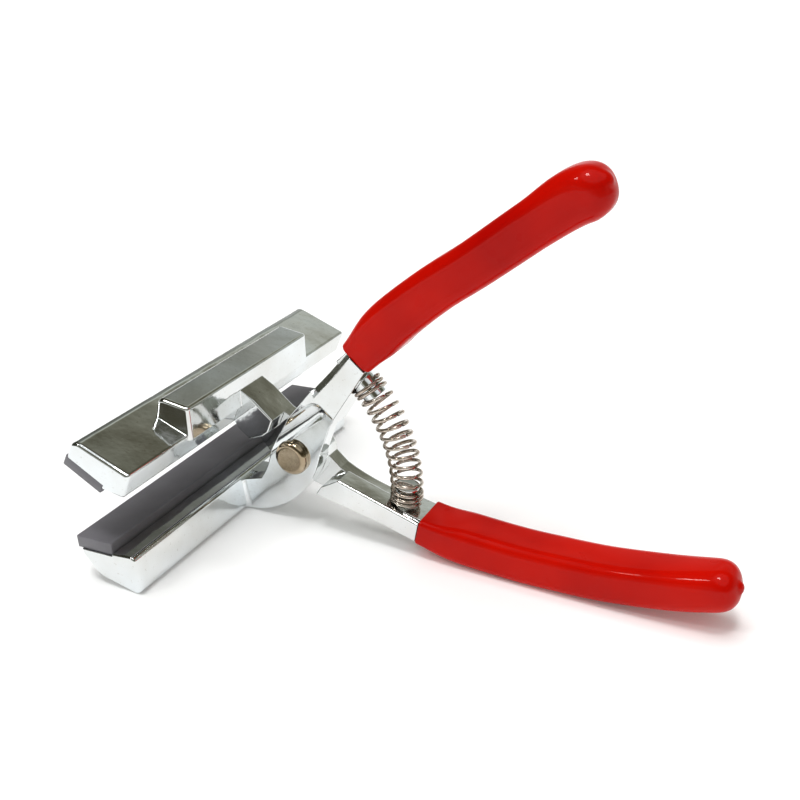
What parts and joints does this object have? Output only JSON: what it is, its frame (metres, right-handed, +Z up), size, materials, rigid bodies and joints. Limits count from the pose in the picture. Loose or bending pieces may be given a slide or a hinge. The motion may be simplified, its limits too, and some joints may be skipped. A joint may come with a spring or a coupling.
{
  "type": "canvas stretching pliers",
  "caption": "Wide-jaw canvas stretching pliers: crossed chrome castings on a riveted pivot, padded jaws, bent coil return spring and dipped red grips.",
  "frame": {"origin": "centre of the bounding box's bottom face, on the surface that the tool lies on with its handles sprung open", "axes": "+X from the jaws to the handles, +Y along the pivot rivet and the jaws' width, +Z up"},
  "size_m": [0.1816, 0.12, 0.124],
  "materials": {
    "chrome_casting": "bright chrome plate over a zinc casting, with slight casting ripple",
    "grey_pad": "smooth matt grey elastomer",
    "rivet_metal": "bright warm-toned nickel plate",
    "spring_wire": "nickel-plated spring wire",
    "red_grip": "glossy red dipped PVC"
  },
  "bodies": {
    "rear_body": {"rear_lever": "chrome_casting", "upper_jaw_pad": "grey_pad", "lower_grip": "red_grip", "pivot_rivet": "rivet_metal"},
    "front_body": {"front_lever": "chrome_casting", "lower_jaw_pad": "grey_pad", "upper_grip": "red_grip", "return_spring": "spring_wire"}
  },
  "joints": [
    {"name": "pivot", "type": "hinge", "parent": "rear_body", "child": "front_body", "pos_m": [-0.04834, 0, 0.02388], "axis": [0, 1, 0], "range_deg": [0, 30.4], "stiffness_Nm_per_rad": 0.9, "springref_deg": -20.05, "deforming": ["return_spring"]}
  ]
}
